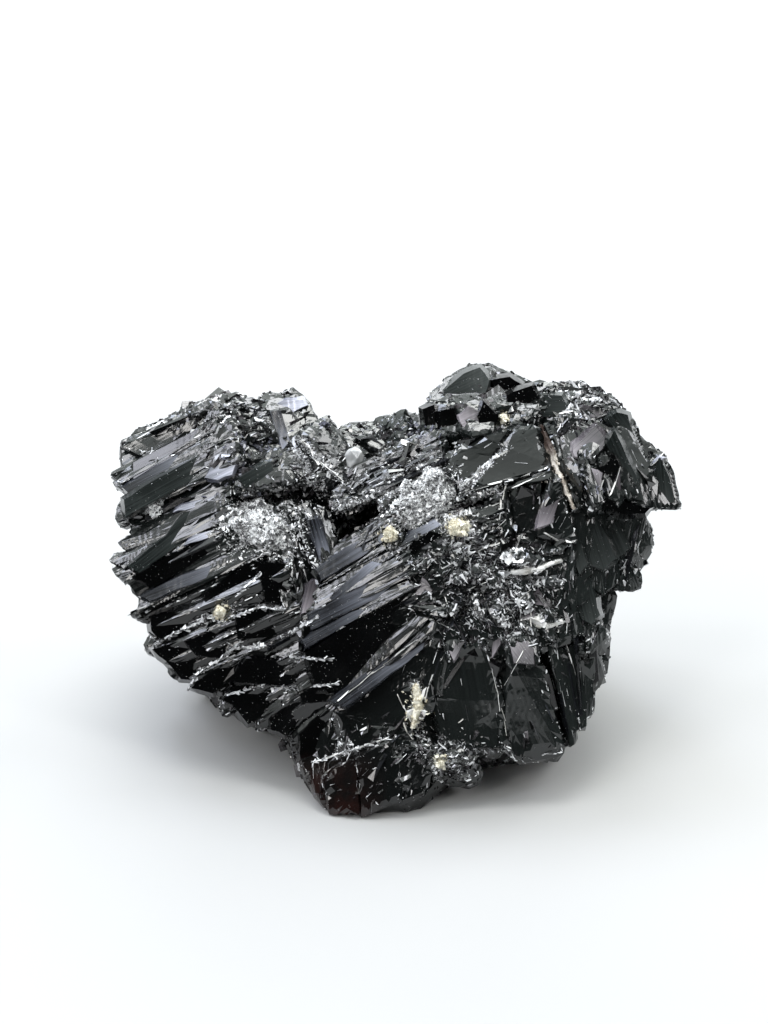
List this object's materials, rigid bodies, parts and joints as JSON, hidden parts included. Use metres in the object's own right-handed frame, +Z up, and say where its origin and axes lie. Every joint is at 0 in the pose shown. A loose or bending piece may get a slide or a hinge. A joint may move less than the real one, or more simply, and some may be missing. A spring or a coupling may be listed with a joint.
{
  "type": "cassiterite specimen",
  "caption": "Black, brilliant cassiterite mass of stepped blades and flat-faced crystals, with small inclusions of quartz and cream mineral, resting on a flat break.",
  "frame": {"origin": "on the flat resting break, below the centre of mass", "axes": "+X to the right of the display face, +Y towards the back, +Z up from the resting break"},
  "size_m": [0.0856, 0.051, 0.0523],
  "materials": {
    "cassiterite": "brilliant black",
    "quartz": "clear to milky, granular",
    "cream_mineral": "dull, granular"
  },
  "bodies": {
    "root": {"cassiterite_mass": "cassiterite", "quartz_grain": "quartz", "quartz_crust_left": "quartz", "quartz_crust_middle": "quartz", "quartz_cluster_edge": "quartz", "cream_chip_left": "cream_mineral", "cream_chip_sheaf": "cream_mineral", "cream_chip_middle": "cream_mineral", "cream_chip_top": "cream_mineral", "cream_chip_low": "cream_mineral", "cream_seam": "cream_mineral", "cream_sliver_middle": "cream_mineral", "cream_sliver_right": "cream_mineral", "cream_splinters": "cream_mineral"}
  },
  "joints": []
}
